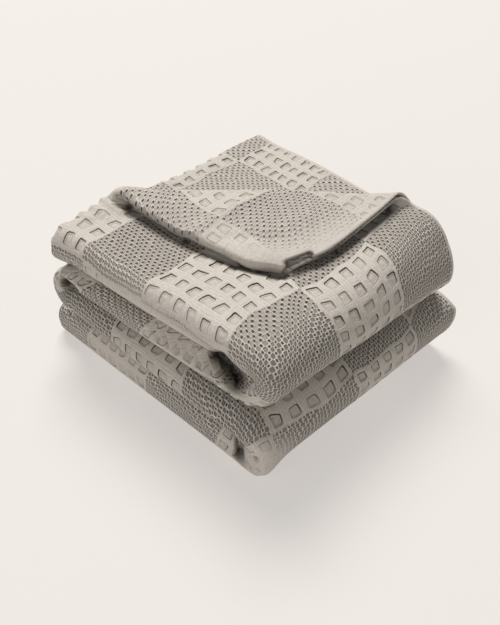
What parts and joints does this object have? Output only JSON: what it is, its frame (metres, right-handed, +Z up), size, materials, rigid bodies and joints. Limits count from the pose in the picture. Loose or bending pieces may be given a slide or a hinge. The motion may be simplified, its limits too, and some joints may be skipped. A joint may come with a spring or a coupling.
{
  "type": "folded waffle weave cotton blanket",
  "caption": "Waffle weave cotton blanket, folded into a square stack with one top corner turned back.",
  "frame": {"origin": "middle of the underside's bounding box, on the surface that the stack rests on", "axes": "+Z up; -Y towards the two large rolls; -X towards the stacked closed edges; the corner at +X +Y is turned back"},
  "size_m": [0.2942, 0.3161, 0.1809],
  "materials": {
    "taupe_cotton": "soft matt cotton, woven in a checkerboard of waffle squares and fine mesh"
  },
  "bodies": {
    "root": {"blanket": "taupe_cotton"}
  },
  "joints": []
}
